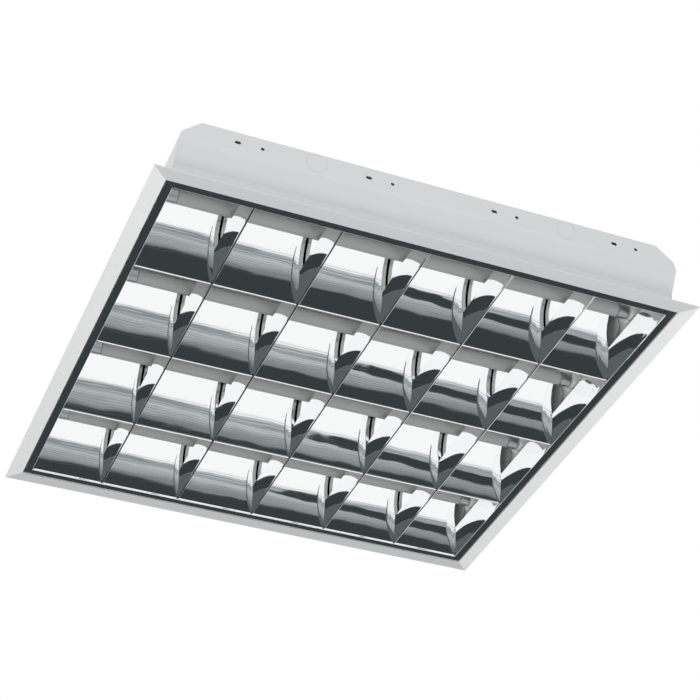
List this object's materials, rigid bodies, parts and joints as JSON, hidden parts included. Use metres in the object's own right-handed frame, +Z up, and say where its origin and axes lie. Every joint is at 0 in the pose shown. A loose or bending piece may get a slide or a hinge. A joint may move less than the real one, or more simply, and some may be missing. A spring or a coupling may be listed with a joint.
{
  "type": "recessed troffer light",
  "caption": "Square recessed ceiling luminaire: white sheet-steel tray with tubular lamps behind a high-gloss parabolic louvre that swings down about one end.",
  "frame": {"origin": "centre of the rim's lower face, which lies on the ceiling grid", "axes": "+X along the lamps towards the catch end of the louvre, +Y across the lamps towards the rear side panel, +Z up into the ceiling"},
  "size_m": [0.622, 0.622, 0.0745],
  "materials": {
    "white_enamel": "satin white stove enamel",
    "mirror_aluminium": "high-gloss mirror anodised",
    "lamp_glass": "white phosphor behind clear glass",
    "cap_aluminium": "satin",
    "rotor_plastic": "matt white",
    "holder_plastic": "white moulded plastic",
    "zinc_steel": "zinc plated",
    "spring_steel": "bright spring steel",
    "gear_white": "white coated",
    "brass": "bright",
    "terminal_plastic": "light grey",
    "wire_pvc": "white PVC insulation",
    "mains_pvc": "blue PVC insulation",
    "grommet_rubber": "matt black"
  },
  "bodies": {
    "housing": {"housing_pan": "white_enamel", "side_panel_front": "white_enamel", "side_panel_rear": "white_enamel", "hinge_brackets": "zinc_steel", "hinge_pins": "zinc_steel", "spring_catches": "spring_steel", "lampholder_left_1": "holder_plastic", "lampholder_right_1": "holder_plastic", "lampholder_left_2": "holder_plastic", "lampholder_right_2": "holder_plastic", "lampholder_left_3": "holder_plastic", "lampholder_right_3": "holder_plastic", "lampholder_left_4": "holder_plastic", "lampholder_right_4": "holder_plastic", "ballast_base_front": "zinc_steel", "ballast_cover_front": "gear_white", "ballast_base_rear": "zinc_steel", "ballast_cover_rear": "gear_white", "ballast_screws": "zinc_steel", "earth_screw": "brass", "terminal_block": "terminal_plastic", "cable_grommet": "grommet_rubber", "lamp_wiring_front": "wire_pvc", "lamp_wiring_rear": "wire_pvc", "mains_wiring": "mains_pvc"},
    "louvre": {"row_reflector_1": "mirror_aluminium", "row_reflector_2": "mirror_aluminium", "row_reflector_3": "mirror_aluminium", "cross_blade_1": "mirror_aluminium", "cross_blade_2": "mirror_aluminium", "cross_blade_3": "mirror_aluminium", "cross_blade_4": "mirror_aluminium", "cross_blade_5": "mirror_aluminium", "side_reflector_front": "mirror_aluminium", "side_reflector_rear": "mirror_aluminium", "end_reflector_left": "mirror_aluminium", "end_reflector_right": "mirror_aluminium", "hinge_knuckles": "spring_steel", "catch_tongues": "spring_steel"},
    "lamp_1": {"lamp_tube_1": "lamp_glass", "lamp_caps_1": "cap_aluminium", "lamp_rotors_1": "rotor_plastic"},
    "lamp_2": {"lamp_tube_2": "lamp_glass", "lamp_caps_2": "cap_aluminium", "lamp_rotors_2": "rotor_plastic"},
    "lamp_3": {"lamp_tube_3": "lamp_glass", "lamp_caps_3": "cap_aluminium", "lamp_rotors_3": "rotor_plastic"},
    "lamp_4": {"lamp_tube_4": "lamp_glass", "lamp_caps_4": "cap_aluminium", "lamp_rotors_4": "rotor_plastic"}
  },
  "joints": [
    {"name": "louvre_hinge", "type": "hinge", "parent": "housing", "child": "louvre", "pos_m": [-0.2903, 0, 0.0035], "axis": [0, 1, 0], "range_deg": [0, 90]},
    {"name": "lamp_1_twist", "type": "hinge", "parent": "housing", "child": "lamp_1", "pos_m": [0, -0.21825, 0.0485], "axis": [1, 0, 0], "range_deg": [0, 90]},
    {"name": "lamp_2_twist", "type": "hinge", "parent": "housing", "child": "lamp_2", "pos_m": [0, -0.07275, 0.0485], "axis": [1, 0, 0], "range_deg": [0, 90]},
    {"name": "lamp_3_twist", "type": "hinge", "parent": "housing", "child": "lamp_3", "pos_m": [0, 0.07275, 0.0485], "axis": [1, 0, 0], "range_deg": [0, 90]},
    {"name": "lamp_4_twist", "type": "hinge", "parent": "housing", "child": "lamp_4", "pos_m": [0, 0.21825, 0.0485], "axis": [1, 0, 0], "range_deg": [0, 90]}
  ]
}
